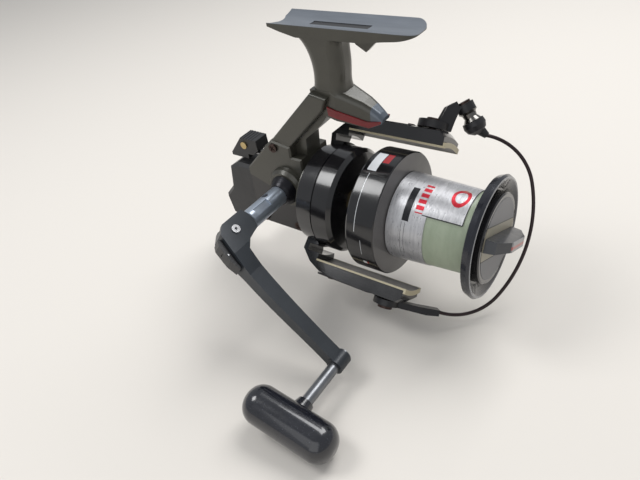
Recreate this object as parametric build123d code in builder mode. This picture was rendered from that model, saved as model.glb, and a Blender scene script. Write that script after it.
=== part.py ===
from build123d import *
from math import cos, radians, sin
import os

# Spinning reel of the large surf size, in millimetres.
# The origin is the middle of the foot's top face, +X points to the rod tip, +Z to the rod.
# The handle is on the -Y side.

os.makedirs("parts", exist_ok=True)

# ---- driving dimensions ----
# foot and stem
foot_rear, foot_front = -38.0, 37.5
foot_width = 20.5
foot_channel_radius = 26.0
foot_channel_depth = 2.0
inlay_rear, inlay_front, inlay_width = -19.0, 12.5, 4.4
inlay_depth = 0.8
stem_width = 15.2
nose_half_width = 8.0
nose_seam_x, nose_tip_x = 11.5, 17.6
nose_tip_half_width, nose_taper_x = 3.6, -6.0
badge_thickness = 0.7
strut_half_width = 11.0
web_half_width = 6.0

# main axis of rotor, spool and shaft
spool_z = -99.2
shaft_radius = 2.3
running_gap = 0.06
face_gap = 0.1

# gear housing
housing_half_width = 12.0
wall = 2.4
housing_front, housing_rear = -30.5, -72.5
housing_bottom = -124.5
snout_radius, snout_front = 23.5, -22.0
snout_wall = 2.2

# handle shaft and drive gear
handle_x, handle_z = -42.7, -91.7
drive_shaft_radius = 3.5
gear_radius = 15.0
gear_teeth, pinion_teeth = 41, 10
gear_face_y, gear_back_y = 6.2, 8.2
tooth_height = 1.2
shaft_bearing_radius, shaft_bearing_width = 8.0, 4.0

# pinion
pinion_radius = 4.6
pinion_sleeve_radius = 4.3
pinion_rear, pinion_shoulder, pinion_front = -36.0, -27.0, -1.2
pinion_bearing_radius, pinion_bearing_width = 9.5, 3.4

# crosswind worm below the main shaft
worm_drop = 12.7
worm_radius = 3.2
worm_journal = 1.3
worm_gear_width = 2.2
worm_rear = -91.5

# rotor
rotor_rear, rotor_front = -27.0, -4.5
collar_radius, drum_radius = 27.7, 29.4
rotor_roll = 38.0
arm_half_angle = 14.0
arm_inner, arm_outer = 38.7, 45.6
arm_front = 39.0
skirt_slot_inner, skirt_slot_outer = 30.4, 34.4
trim_thickness = 1.0
cover_thickness = 1.3

# bail
pivot_x = 27.0
bail_tilt = 35.0
boss_radius = 8.0
pivot_screw_radius = 2.0
wire_radius = 0.95
roller_radius, roller_length = 4.4, 5.2
roller_bush_radius = 2.6

# spool
skirt_rear, skirt_front = 8.1, 24.4
skirt_radius, skirt_wall = 33.0, 1.9
core_radius, core_wall = 19.6, 2.4
fill_rear_radius, fill_front_radius = 23.1, 21.4
lip_rear, lip_front = 67.4, 73.7
lip_radius = 31.4
web_rear, web_front = 44.0, 47.0

# drag
knob_radius = 23.2
knob_rear, knob_front = 70.2, 74.8
bar_top, bar_half_length, bar_half_width = 85.0, 19.5, 3.4
bar_angle = -26.0
washer_thickness, washer_gap = 1.2, 0.05

# crank
sleeve_radius = 5.5
collar_start_y, sleeve_start_y, sleeve_end_y = -16.6, -21.8, -48.4
fold_y = -61.0
knuckle_half_width = 6.2
tongue_half_width, tongue_radius = 2.5, 3.8
fold_pin_radius = 1.6
crank_end_x, crank_end_z = 23.9, -142.0
arm_tip_inner_y, arm_tip_outer_y = -68.2, -76.6
release_pin_radius = 0.6
knob_shaft_radius, knob_core_radius = 3.0, 2.0
grip_neck_y, grip_centre_y = -100.7, -113.3
grip_radius, grip_length, grip_tilt = 9.8, 49.4, 9.0
grip_neck_radius = 4.2

# anti-reverse
lever_y, lever_z = -2.0, -81.5
rod_radius = 1.5
ratchet_radius, ratchet_rear, ratchet_front = 9.0, -21.4, -19.4

# ---- planes and axes ----
spool_axis = Axis((0, 0, spool_z), (1, 0, 0))
spool_plane = Plane(origin=(0, 0, spool_z), x_dir=(1, 0, 0), z_dir=(0, -1, 0))
side_plane = Plane(origin=(0, 0, 0), x_dir=(1, 0, 0), z_dir=(0, -1, 0))
handle_axis = Axis((handle_x, 0, handle_z), (0, 1, 0))
handle_plane = Plane(origin=(handle_x, 0, handle_z), x_dir=(0, 1, 0), z_dir=(-1, 0, 0))


def spoke_plane(roll):
    """Plane through the spool's axis: local x along it, local y outwards at this roll."""
    side = (0, -cos(radians(roll)), sin(radians(roll)))
    return Plane(origin=(0, 0, spool_z), x_dir=(1, 0, 0), z_dir=side)


def outline(plane, points):
    """Closed flat outline."""
    with BuildSketch(plane) as sketch:
        with BuildLine():
            Polyline(*points, close=True)
        make_face()
    return sketch.sketch


def disc(start, direction, radius):
    """Flat disc square to a direction."""
    with BuildSketch(Plane(origin=start, z_dir=direction)) as sketch:
        Circle(radius)
    return sketch.sketch


def turn(points, mode=Mode.ADD):
    """Outline of (X, radius) turned about the spool's axis."""
    revolve(outline(spool_plane, points), axis=spool_axis, mode=mode)


def turn_handle(points, mode=Mode.ADD):
    """Outline of (Y, radius) turned about the handle's axis."""
    revolve(outline(handle_plane, points), axis=handle_axis, mode=mode)


def spoke(points, roll, half_angle, mode=Mode.ADD):
    """Outline of (X, radius) swept round the spool's axis over an arc centred on a roll."""
    profile = outline(spoke_plane(roll + half_angle), points)
    revolve(profile, axis=spool_axis, revolution_arc=2 * half_angle, mode=mode)


def slab(points, half_width, mode=Mode.ADD):
    """Outline of (X, Z) as thick as twice the half width, centred on Y = 0."""
    extrude(outline(side_plane, points), amount=half_width, both=True, mode=mode)


def slab_between(points, y_low, y_high, mode=Mode.ADD):
    """Outline of (X, Z) that fills from one Y to another."""
    extrude(outline(side_plane.offset(-y_high), points), amount=y_high - y_low, mode=mode)


def rod(start, direction, radius, length, mode=Mode.ADD):
    """Round bar from a point along a direction."""
    extrude(disc(start, direction, radius), amount=length, mode=mode)


def ring(x_start, x_end, inner, outer, mode=Mode.ADD):
    """Plain ring about the spool's axis."""
    turn([(x_start, inner), (x_end, inner), (x_end, outer), (x_start, outer)], mode)


# ---- housing outlines in (X, Z) ----
room_half_width = housing_half_width - wall
cover_inner_y = -room_half_width
back_lean = 1.0
strut_top = (-19.0, -32.6)
cover_top_rear = (strut_top[0] - (strut_top[1] + 64.0), -64.0)
cover_top_front = (-37.4, -66.0)
shelf_z = -72.2
back_low = (housing_rear, strut_top[1] - (strut_top[0] - housing_rear) * back_lean)
strut_outline = [strut_top, (-9.2, -34.3), (-12.2, -41.3), (-37.4, -66.4), (-37.4, -74.0), (-60.0, -74.0)]
web_outline = [(-11.0, -40.0), (-12.5, -45.0), (-19.5, -53.5), (-29.5, -62.0), (housing_front, shelf_z - 1),
               (-45.0, shelf_z - 1), (-36.0, -64.0)]
housing_outline = [cover_top_rear, cover_top_front, (cover_top_front[0], shelf_z), (housing_front, shelf_z),
                   (housing_front, housing_bottom + 1.5), (-38.0, housing_bottom),
                   (-66.0, housing_bottom + 0.5), (housing_rear, housing_bottom + 2), back_low]
room_outline = [(-70.0, -87.0), (-53.0, -70.2), (-40.2, -70.2), (-40.2, shelf_z - 2.8), (-33.0, shelf_z - 2.8),
                (-33.0, housing_bottom + 3.5), (-38.5, housing_bottom + 2.5), (-66.0, housing_bottom + 3),
                (housing_rear - 0.5, housing_bottom + 5), (housing_rear - 0.5, -89.0)]
way_half_height = ((snout_radius - snout_wall) ** 2 - room_half_width ** 2) ** 0.5
gear_way = [(housing_front - 3, spool_z + way_half_height), (housing_front + 1.3, spool_z + way_half_height),
            (housing_front + 1.3, spool_z - way_half_height), (housing_front - 3, spool_z - way_half_height)]
screw_posts = [(-66.5, housing_bottom + 4.8), (-41.0, housing_bottom + 5.0)]
cover_screw_places = [(-48.6, -68.0)] + screw_posts
worm_z = spool_z - worm_drop

# nose of the stem
nose_bottom = -48.9
nose_body_outline = [(-20.0, -31.6), (-5.0, -31.6), (7.4, -36.4), (nose_seam_x, -38.9),
                     (nose_seam_x, nose_bottom + 0.4), (nose_seam_x - 1.5, nose_bottom), (-6.0, -46.4),
                     (-12.5, -44.8), (-20.0, -38.0)]
nose_cap_outline = [(nose_seam_x, -38.9), (nose_tip_x - 2.2, -41.9), (nose_tip_x - 0.3, -43.8),
                    (nose_tip_x - 0.8, -46.2), (nose_seam_x, nose_bottom + 0.4)]
badge_outline = [(-10.8, -39.3), (-0.6, -42.2), (9.8, -45.3), (nose_tip_x - 0.8, -44.9),
                 (nose_tip_x - 1.1, -46.0), (10.6, nose_bottom + 0.4), (-10.3, -43.8)]


def nose_plan(extra):
    """Seen from above, the nose narrows to its tip; extra is added on both sides."""
    wide, narrow = nose_half_width + extra, nose_tip_half_width + extra
    half = [(nose_tip_x + 1, narrow), (nose_taper_x, wide), (-21.0, wide)]
    return outline(Plane.XY.offset(-55), half + [(x, -y) for x, y in reversed(half)])


# ---- frame: foot, stem, strut, gear housing and snout in one casting ----
with BuildPart() as strut_web:
    slab(strut_outline, strut_half_width)
    fillet(strut_web.edges().group_by(Axis.Y)[0] + strut_web.edges().group_by(Axis.Y)[-1], radius=1.2)
with BuildPart() as nose_body:
    slab(nose_body_outline, nose_half_width)
    extrude(nose_plan(0), amount=30, mode=Mode.INTERSECT)
    fillet(nose_body.edges().filter_by(lambda e: e.center().Z > -39 and e.center().X > 0 and
                                       abs(e.center().Y) > 4), radius=3.2)
with BuildPart() as housing_shell:
    slab_between(housing_outline, cover_inner_y, housing_half_width)
    left_edges = housing_shell.edges().group_by(Axis.Y)[-1]
    fillet(left_edges.filter_by(lambda e: e.center().Z < housing_bottom + 3), radius=3.0)

with BuildPart() as body_frame:
    slab([(foot_rear, 0), (foot_front, 0), (foot_front, -2.4), (24.0, -3.8), (14.0, -5.2), (-22.0, -5.6),
          (-31.0, -3.6), (foot_rear, -1.6)], foot_width / 2)
    with BuildSketch(Plane.XY.offset(-10)) as foot_plan:
        with BuildLine():
            Polyline((foot_rear, -foot_width / 2), (foot_front, -foot_width / 2), (foot_front, foot_width / 2),
                     (foot_rear, foot_width / 2), close=True)
        make_face()
        fillet(foot_plan.vertices().group_by(Axis.X)[-1], radius=7.5)
    extrude(amount=12, mode=Mode.INTERSECT)
    rod((foot_rear - 1, 0, foot_channel_radius - foot_channel_depth), (1, 0, 0), foot_channel_radius,
        foot_front - foot_rear + 2, Mode.SUBTRACT)
    slab_between([(inlay_rear, 0), (inlay_front, 0), (inlay_front, -foot_channel_depth - inlay_depth),
                  (inlay_rear, -foot_channel_depth - inlay_depth)], -inlay_width / 2, inlay_width / 2,
                  Mode.SUBTRACT)
    # finger fin under the front of the foot
    slab([(3.0, -5.0), (5.0, -9.5), (10.4, -12.7), (16.5, -7.0), (18.0, -4.5)], 1.6)
    # stem, from a flared top to the nose
    for z, rear, front, width in [(-4.0, -29.0, 4.0, 17.0), (-10.0, -22.5, -1.7, 15.8),
                                  (-18.0, -19.7, -1.6, stem_width),
                                  (-26.0, -19.2, -2.2, stem_width), (-34.0, -20.6, -1.5, 2 * nose_half_width)]:
        with BuildSketch(Plane.XY.offset(z)):
            with Locations(((rear + front) / 2, 0)):
                RectangleRounded(front - rear, width, 5.5)
    loft()
    add(nose_body.part)
    add(strut_web.part)
    slab(web_outline, web_half_width)
    add(housing_shell.part)
    # snout that reaches into the rotor
    ring(housing_front - 1.0, snout_front, 0, snout_radius)
    ring(housing_front + 1.2, snout_front - snout_wall, 0, snout_radius - snout_wall, Mode.SUBTRACT)
    slab(gear_way, room_half_width, Mode.SUBTRACT)
    slab_between(housing_outline, -snout_radius, cover_inner_y, Mode.SUBTRACT)
    slab_between(room_outline, cover_inner_y, room_half_width, Mode.SUBTRACT)
    ring(snout_front - pinion_bearing_width - 0.8, snout_front, 0, pinion_bearing_radius + 1.1)
    ring(snout_front - pinion_bearing_width - 0.8, snout_front - 0.8, 0, pinion_bearing_radius, Mode.SUBTRACT)
    ring(snout_front - 1, snout_front, 0, pinion_bearing_radius - 1.3, Mode.SUBTRACT)
    # posts for the cover's screws
    for x, z in screw_posts:
        rod((x, room_half_width + 0.5, z), (0, -1, 0), 3.0, 2 * room_half_width + 0.5)
    for x, z in cover_screw_places:
        rod((x, cover_inner_y, z), (0, 1, 0), 1.5, 8, Mode.SUBTRACT)
    # seat of the left shaft bearing
    rod((handle_x, room_half_width, handle_z), (0, 1, 0), shaft_bearing_radius + 2.5, wall + 2.5)
    rod((handle_x, 0, handle_z), (0, 1, 0), shaft_bearing_radius, housing_half_width + 3, Mode.SUBTRACT)
    # holes for the anti-reverse rod and the worm's front journal
    rod((-80, lever_y, lever_z), (1, 0, 0), rod_radius + running_gap, 60, Mode.SUBTRACT)
    rod((snout_front - 4, 0, worm_z), (1, 0, 0), worm_journal + running_gap, 5, Mode.SUBTRACT)
body_frame.part.label = "body_frame"
export_step(body_frame.part, "parts/body_frame.step")

with BuildPart() as foot_inlay:
    slab_between([(inlay_rear, -2.2), (inlay_front, -2.2), (inlay_front, -foot_channel_depth - inlay_depth),
                  (inlay_rear, -foot_channel_depth - inlay_depth)], -inlay_width / 2, inlay_width / 2)
foot_inlay.part.label = "foot_inlay"
export_step(foot_inlay.part, "parts/foot_inlay.step")

with BuildPart() as nose_cap:
    slab(nose_cap_outline, nose_half_width)
    extrude(nose_plan(0), amount=30, mode=Mode.INTERSECT)
    fillet(nose_cap.edges().filter_by(lambda e: e.center().Z > -43.5 and abs(e.center().Y) > 3 and
                                      e.center().X > nose_seam_x + 0.5), radius=3.2)
nose_cap.part.label = "nose_cap"
export_step(nose_cap.part, "parts/nose_cap.step")

with BuildPart() as nose_badges:
    slab(badge_outline, nose_half_width + 2)
    extrude(nose_plan(badge_thickness), amount=30, mode=Mode.INTERSECT)
    extrude(nose_plan(0), amount=30, mode=Mode.SUBTRACT)
nose_badges.part.label = "nose_badges"
export_step(nose_badges.part, "parts/nose_badges.step")

# ---- side cover with the handle's boss ----
boss_outer_y = collar_start_y + 0.2
with BuildPart() as side_cover:
    slab_between(housing_outline, -housing_half_width, cover_inner_y)
    chamfer(side_cover.edges().group_by(Axis.Y)[0], length=0.9)
    turn_handle([(-housing_half_width, 0), (-housing_half_width, 12.5), (boss_outer_y + 1.9, 12.0),
                 (boss_outer_y, 10.4), (boss_outer_y, 0)])
    turn_handle([(cover_inner_y + 1, 0), (cover_inner_y + 1, shaft_bearing_radius),
                 (cover_inner_y - shaft_bearing_width, shaft_bearing_radius),
                 (cover_inner_y - shaft_bearing_width, 6.3), (boss_outer_y - 1, 6.3), (boss_outer_y - 1, 0)],
                Mode.SUBTRACT)
    for x, z in cover_screw_places:
        rod((x, cover_inner_y + 1, z), (0, -1, 0), 1.6, 6, Mode.SUBTRACT)
side_cover.part.label = "side_cover"
export_step(side_cover.part, "parts/side_cover.step")

with BuildPart() as cover_screws:
    for x, z in cover_screw_places:
        rod((x, -housing_half_width, z), (0, -1, 0), 2.6, 1.1)
        rod((x, -housing_half_width, z), (0, 1, 0), 1.4, 8)
        with BuildSketch(Plane(origin=(x, -housing_half_width - 1.1, z), x_dir=(1, 0, 0), z_dir=(0, 1, 0))):
            Rectangle(3.4, 0.7, rotation=35)
            Rectangle(0.7, 3.4, rotation=35)
        extrude(amount=0.6, mode=Mode.SUBTRACT)
cover_screws.part.label = "cover_screws"
export_step(cover_screws.part, "parts/cover_screws.step")

# ---- rear cover ----
rear_joint = housing_rear - 0.1
rear_outline = [(rear_joint, -86.4), (-83.0, -86.2), (-90.5, -91.0), (-93.0, -106.0), (-100.0, -113.5),
                (-97.5, -127.5), (-88.0, -129.0), (rear_joint, housing_bottom + 1.2)]
rear_room = [(rear_joint + 1, -89.0), (-82.0, -88.6), (-88.6, -92.6), (-91.0, -107.0), (-97.4, -114.2),
             (-95.2, -125.0), (-88.0, -126.4), (rear_joint + 1, housing_bottom + 4)]
with BuildPart() as rear_cover:
    slab(rear_outline, 11.0)
    chamfer(rear_cover.edges().filter_by(Plane.XZ).filter_by(lambda e: e.center().X < rear_joint - 0.5),
            length=2.0)
    slab(rear_room, 8.4, Mode.SUBTRACT)
    rod((worm_rear - 0.3, 0, worm_z), (-1, 0, 0), 2.6, 4.5)
    rod((worm_rear, 0, worm_z), (-1, 0, 0), worm_journal + running_gap, 2.8, Mode.SUBTRACT)
rear_cover.part.label = "rear_cover"
export_step(rear_cover.part, "parts/rear_cover.step")

# ---- bearings, cap and retainer ----
def bearing(x_start, width, inner, outer):
    """Ball bearing about the spool's axis as two races with a shield between them."""
    ring(x_start, x_start + width, inner, outer)
    groove = (outer - inner) * 0.3
    ring(x_start - 1, x_start + 0.3, inner + groove, outer - groove, Mode.SUBTRACT)
    ring(x_start + width - 0.3, x_start + width + 1, inner + groove, outer - groove, Mode.SUBTRACT)


left_bearing_y = room_half_width - 0.2
right_bearing_y = cover_inner_y - shaft_bearing_width
with BuildPart() as shaft_bearings:
    for y in (left_bearing_y, right_bearing_y):
        bore = drive_shaft_radius + running_gap
        turn_handle([(y, bore), (y + shaft_bearing_width, bore),
                     (y + shaft_bearing_width, shaft_bearing_radius), (y, shaft_bearing_radius)])
        for face_y in (y - 0.7, y + shaft_bearing_width - 0.3):
            turn_handle([(face_y, drive_shaft_radius + 1.4), (face_y + 1, drive_shaft_radius + 1.4),
                         (face_y + 1, shaft_bearing_radius - 1.3), (face_y, shaft_bearing_radius - 1.3)],
                        Mode.SUBTRACT)
shaft_bearings.part.label = "shaft_bearings"
export_step(shaft_bearings.part, "parts/shaft_bearings.step")

cap_seat_y = left_bearing_y + shaft_bearing_width
cap_face_y = housing_half_width + 5.0
with BuildPart() as bearing_cap:
    turn_handle([(cap_seat_y, 4.5), (cap_seat_y, shaft_bearing_radius),
                 (housing_half_width + 2.5, shaft_bearing_radius),
                 (housing_half_width + 2.5, shaft_bearing_radius + 2.3),
                 (cap_face_y - 1, shaft_bearing_radius + 1.8),
                 (cap_face_y, shaft_bearing_radius), (cap_face_y, 0), (cap_seat_y + 1.6, 0),
                 (cap_seat_y + 1.6, 4.5)])
    with BuildSketch(Plane(origin=(handle_x, cap_face_y, handle_z), x_dir=(1, 0, 0), z_dir=(0, -1, 0))):
        Rectangle(12.0, 1.6)
    extrude(amount=0.8, mode=Mode.SUBTRACT)
bearing_cap.part.label = "bearing_cap"
export_step(bearing_cap.part, "parts/bearing_cap.step")

pinion_bearing_rear = snout_front - 0.8 - pinion_bearing_width
with BuildPart() as pinion_bearing:
    bearing(pinion_bearing_rear, pinion_bearing_width, pinion_sleeve_radius, pinion_bearing_radius)
pinion_bearing.part.label = "pinion_bearing"
export_step(pinion_bearing.part, "parts/pinion_bearing.step")

with BuildPart() as bearing_retainer:
    ring(pinion_bearing_rear - 0.7, pinion_bearing_rear, pinion_bearing_radius - 2.5,
         pinion_bearing_radius + 1.1)
bearing_retainer.part.label = "bearing_retainer"
export_step(bearing_retainer.part, "parts/bearing_retainer.step")

# ---- anti-reverse: lever, rivet, rod with pawl ----
with BuildPart() as anti_reverse_lever:
    slab_between([(-70.5, -80.5), (-66.5, -76.5), (-66.8, -70.6), (-78.5, -70.2), (-88.2, -81.6),
                  (-88.2, -83.6), (-75.0, -83.6), (-75.0, -80.5)], lever_y - 5.0, lever_y + 5.0)
    for step in range(5):
        x = -69.0 - 2.0 * step
        slab_between([(x, -69.0), (x - 1.0, -71.0), (x - 2.0, -69.0)], lever_y - 6, lever_y + 6, Mode.SUBTRACT)
    rod((-89, lever_y, lever_z), (1, 0, 0), rod_radius, 30, Mode.SUBTRACT)
    rod((-76.5, lever_y, -74.8), (0, -1, 0), 1.5, 6, Mode.SUBTRACT)
anti_reverse_lever.part.label = "anti_reverse_lever"
export_step(anti_reverse_lever.part, "parts/anti_reverse_lever.step")

with BuildPart() as lever_rivet:
    rod((-76.5, lever_y, -74.8), (0, -1, 0), 1.5, 5.0)
    rod((-76.5, lever_y - 5.0, -74.8), (0, -1, 0), 2.2, 0.8)
lever_rivet.part.label = "lever_rivet"
export_step(lever_rivet.part, "parts/lever_rivet.step")

pawl_reach = lever_z - (spool_z + ratchet_radius) - 0.3
with BuildPart() as anti_reverse_rod:
    rod((-88.0, lever_y, lever_z), (1, 0, 0), rod_radius, ratchet_front + 88.0)
    with BuildSketch(Plane(origin=(ratchet_rear, lever_y, lever_z), x_dir=(0, 1, 0), z_dir=(1, 0, 0))):
        with BuildLine():
            Polyline((-2.6, 1.6), (2.6, 1.6), (2.6, -3.0), (1.2, -pawl_reach), (-0.8, -pawl_reach),
                     (-2.6, -3.0), close=True)
        make_face()
    extrude(amount=ratchet_front - ratchet_rear)
anti_reverse_rod.part.label = "anti_reverse_rod"
export_step(anti_reverse_rod.part, "parts/anti_reverse_rod.step")

# ---- drive gear on its hollow shaft ----
tooth_inner = 11.8
with BuildPart() as drive_gear:
    turn_handle([(sleeve_start_y, 1.6), (sleeve_start_y, drive_shaft_radius), (4.4, drive_shaft_radius),
                 (4.4, 5.5), (gear_face_y, 5.5), (gear_face_y, gear_radius), (gear_back_y, gear_radius),
                 (gear_back_y, 6.0), (left_bearing_y - face_gap, 6.0),
                 (left_bearing_y - face_gap, drive_shaft_radius),
                 (cap_seat_y + 0.5, drive_shaft_radius), (cap_seat_y + 0.5, 1.6)])
    with BuildSketch(Plane(origin=(handle_x, gear_face_y, handle_z), x_dir=(1, 0, 0), z_dir=(0, -1, 0))):
        with PolarLocations(0, gear_teeth):
            with Locations(((tooth_inner + gear_radius) / 2, 0)):
                Rectangle(gear_radius - tooth_inner, 1.0)
    extrude(amount=tooth_height)
drive_gear.part.label = "drive_gear"
export_step(drive_gear.part, "parts/drive_gear.step")

# ---- pinion, ratchet wheel and rotor nut ----
with BuildPart() as pinion:
    ring(pinion_rear, pinion_front, shaft_radius + running_gap, pinion_sleeve_radius - 0.02)
    with BuildSketch(Plane(origin=(pinion_rear, 0, spool_z), x_dir=(0, 1, 0), z_dir=(1, 0, 0))):
        Circle(pinion_radius)
        with PolarLocations(pinion_radius, pinion_teeth):
            Circle(0.62, mode=Mode.SUBTRACT)
        Circle(shaft_radius + running_gap, mode=Mode.SUBTRACT)
    extrude(amount=pinion_shoulder - pinion_rear)
pinion.part.label = "pinion"
export_step(pinion.part, "parts/pinion.step")

with BuildPart() as ratchet_wheel:
    with BuildSketch(Plane(origin=(ratchet_rear, 0, spool_z), x_dir=(0, 1, 0), z_dir=(1, 0, 0))):
        Circle(ratchet_radius)
        with PolarLocations(ratchet_radius, 12):
            Rectangle(1.6, 1.8, mode=Mode.SUBTRACT)
        Circle(pinion_sleeve_radius, mode=Mode.SUBTRACT)
    extrude(amount=ratchet_front - ratchet_rear)
ratchet_wheel.part.label = "ratchet_wheel"
export_step(ratchet_wheel.part, "parts/ratchet_wheel.step")

with BuildPart() as rotor_nut:
    with BuildSketch(Plane(origin=(rotor_front, 0, spool_z), x_dir=(0, 1, 0), z_dir=(1, 0, 0))):
        RegularPolygon(7.5, 6)
        Circle(pinion_sleeve_radius, mode=Mode.SUBTRACT)
    extrude(amount=pinion_front - rotor_front)
rotor_nut.part.label = "rotor_nut"
export_step(rotor_nut.part, "parts/rotor_nut.step")

# ---- rotor: drum with two hollow arms ----
rolls = (rotor_roll, rotor_roll + 180)
arm_outline = [(rotor_rear, drum_radius - 2), (rotor_rear, 34.0), (-20.0, 40.3), (-12.0, 44.0),
               (0.0, arm_outer - 0.4),
               (16.0, arm_outer), (arm_front - 3, arm_outer), (arm_front, arm_outer - 2.5),
               (arm_front, arm_inner),
               (-16.0, arm_inner), (-16.0, skirt_slot_outer + 0.2), (-20.0, drum_radius - 2)]
pocket_inner, pocket_outer = arm_inner + 1.4, arm_outer - cover_thickness
pocket_rear, pocket_front = -12.0, pivot_x - boss_radius
trip_rod_radius = 1.1
trip_radius = pocket_inner + trip_rod_radius + 0.15
with BuildPart() as rotor:
    turn([(rotor_rear, 24.6), (rotor_rear, collar_radius), (-16.8, 29.0), (-16.8, 28.2), (-15.8, 28.2),
          (-15.8, drum_radius), (-6.5, drum_radius), (rotor_front, drum_radius - 2),
          (rotor_front, pinion_sleeve_radius),
          (ratchet_front + 0.8, pinion_sleeve_radius), (ratchet_front + 0.8, 8.5), (-7.5, 8.5), (-7.5, 26.6),
          (-18.0, 26.6), (-18.0, 24.6)])
    for roll in rolls:
        spoke(arm_outline, roll, arm_half_angle)
        spoke([(pocket_rear, pocket_inner), (pocket_front, pocket_inner), (pocket_front, arm_outer + 1),
               (pocket_rear, arm_outer + 1)], roll, arm_half_angle - 5, Mode.SUBTRACT)
        spoke([(pocket_rear - 1.5, pocket_outer), (pocket_front, pocket_outer), (pocket_front, arm_outer + 1),
               (pocket_rear - 1.5, arm_outer + 1)], roll, arm_half_angle - 2.5, Mode.SUBTRACT)
    ring(-24.0, -8.0, skirt_slot_inner, skirt_slot_outer, Mode.SUBTRACT)
    for roll in rolls:
        outward = spoke_plane(roll).y_dir
        start = Vector(pivot_x, 0, spool_z) + outward * (arm_inner - 1)
        rod(start, outward, pivot_screw_radius, arm_outer - arm_inner + 3, Mode.SUBTRACT)
    # hole for the trip rod at the arm's root
    outward = spoke_plane(rotor_roll).y_dir
    rod(Vector(-26, 0, spool_z) + outward * trip_radius, (1, 0, 0), trip_rod_radius + 0.15, 18, Mode.SUBTRACT)
rotor.part.label = "rotor"
export_step(rotor.part, "parts/rotor.step")

cover_rear, cover_front = pocket_rear - 1.5, pocket_front
with BuildPart() as arm_covers:
    for roll in rolls:
        spoke([(cover_rear, pocket_outer), (cover_front, pocket_outer), (cover_front, arm_outer + 0.3),
               (cover_rear, arm_outer - 0.2)], roll, arm_half_angle - 2.5)
        for x in (cover_rear + 4, cover_front - 4):
            outward = spoke_plane(roll).y_dir
            rod(Vector(x, 0, spool_z) + outward * (pocket_outer - 1), outward, 1.0, 5, Mode.SUBTRACT)
arm_covers.part.label = "arm_covers"
export_step(arm_covers.part, "parts/arm_covers.step")

with BuildPart() as arm_cover_screws:
    for roll in rolls:
        outward = spoke_plane(roll).y_dir
        for x in (cover_rear + 4, cover_front - 4):
            foot = Vector(x, 0, spool_z) + outward * (pocket_outer - 1)
            rod(foot, outward, 0.95, arm_outer + 0.3 - pocket_outer + 1)
            rod(foot + outward * (arm_outer + 0.3 - pocket_outer + 1), outward, 1.9, 0.6)
arm_cover_screws.part.label = "arm_cover_screws"
export_step(arm_cover_screws.part, "parts/arm_cover_screws.step")

with BuildPart() as arm_trims:
    for roll in rolls:
        spoke([(-15.9, arm_inner - trim_thickness), (arm_front + 1.2, arm_inner - trim_thickness),
               (arm_front + 1.2, arm_inner + 1.6), (arm_front + 0.05, arm_inner + 1.6),
               (arm_front + 0.05, arm_inner), (-15.9, arm_inner)], roll, arm_half_angle + 0.8)
arm_trims.part.label = "arm_trims"
export_step(arm_trims.part, "parts/arm_trims.step")

boss_inner, boss_outer = arm_outer + 0.35, arm_outer + 4.2
with BuildPart() as bail_pivot_screws:
    for roll in rolls:
        outward = spoke_plane(roll).y_dir
        start = Vector(pivot_x, 0, spool_z) + outward * arm_inner
        rod(start, outward, pivot_screw_radius, boss_outer - arm_inner + 0.1)
        rod(start + outward * (boss_outer - arm_inner + 0.1), outward, 4.0, 1.3)
        with BuildSketch(Plane(origin=start + outward * (boss_outer - arm_inner + 1.4), x_dir=(1, 0, 0),
                               z_dir=-outward)):
            Rectangle(6.0, 1.0, rotation=25)
        extrude(amount=0.7, mode=Mode.SUBTRACT)
bail_pivot_screws.part.label = "bail_pivot_screws"
export_step(bail_pivot_screws.part, "parts/bail_pivot_screws.step")

with BuildPart() as counterweight:
    spoke([(pocket_rear + 0.5, pocket_inner), (pocket_front - 0.5, pocket_inner),
           (pocket_front - 0.5, pocket_outer - 1.3),
           (pocket_rear + 0.5, pocket_outer - 1.3)], rotor_roll + 180, arm_half_angle - 5.5)
counterweight.part.label = "counterweight"
export_step(counterweight.part, "parts/counterweight.step")

with BuildPart() as trip_rod:
    outward = spoke_plane(rotor_roll).y_dir
    rod(Vector(-20.0, 0, spool_z) + outward * trip_radius, (1, 0, 0), trip_rod_radius, 33.0)
trip_rod.part.label = "trip_rod"
export_step(trip_rod.part, "parts/trip_rod.step")

with BuildPart() as bail_spring:
    with BuildSketch(spoke_plane(rotor_roll).offset(3.0)):
        with BuildLine():
            Polyline((-8.0, pocket_inner + 0.0), (4.0, pocket_inner + 0.0), (16.0, pocket_outer - 0.9),
                     (16.0, pocket_outer - 0.5), (3.8, pocket_inner + 0.5), (-8.0, pocket_inner + 0.5),
                     close=True)
        make_face()
    extrude(amount=2.2)
bail_spring.part.label = "bail_spring"
export_step(bail_spring.part, "parts/bail_spring.step")

# ---- bail: levers, roller and wire, in the plane of the wire ----
bail_up = spoke_plane(rotor_roll).y_dir
bail_side = Vector(0, cos(radians(rotor_roll)), -sin(radians(rotor_roll)))
bail_out = Vector(1, 0, 0) * cos(radians(bail_tilt)) + bail_side * sin(radians(bail_tilt))
bail_plane = Plane(origin=(pivot_x, 0, spool_z), x_dir=bail_out, z_dir=bail_out.cross(bail_up))
pivot_point = Vector(pivot_x, 0, spool_z)
lever_half = 4.0
roller_lean = 47.0
roller_dir_flat = (cos(radians(roller_lean)), -sin(radians(roller_lean)))
roller_axis_dir = bail_out * roller_dir_flat[0] + bail_up * roller_dir_flat[1]
roller_centre = (17.4, 57.0)


def bail_point(out, up):
    """Point in the plane of the wire: so far outwards from the pivot, and so far up from the spool's axis."""
    return pivot_point + bail_out * out + bail_up * up


def along_roller(distance):
    """Point on the roller's axis, measured from the roller's middle."""
    return bail_point(*roller_centre) + roller_axis_dir * distance


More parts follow.
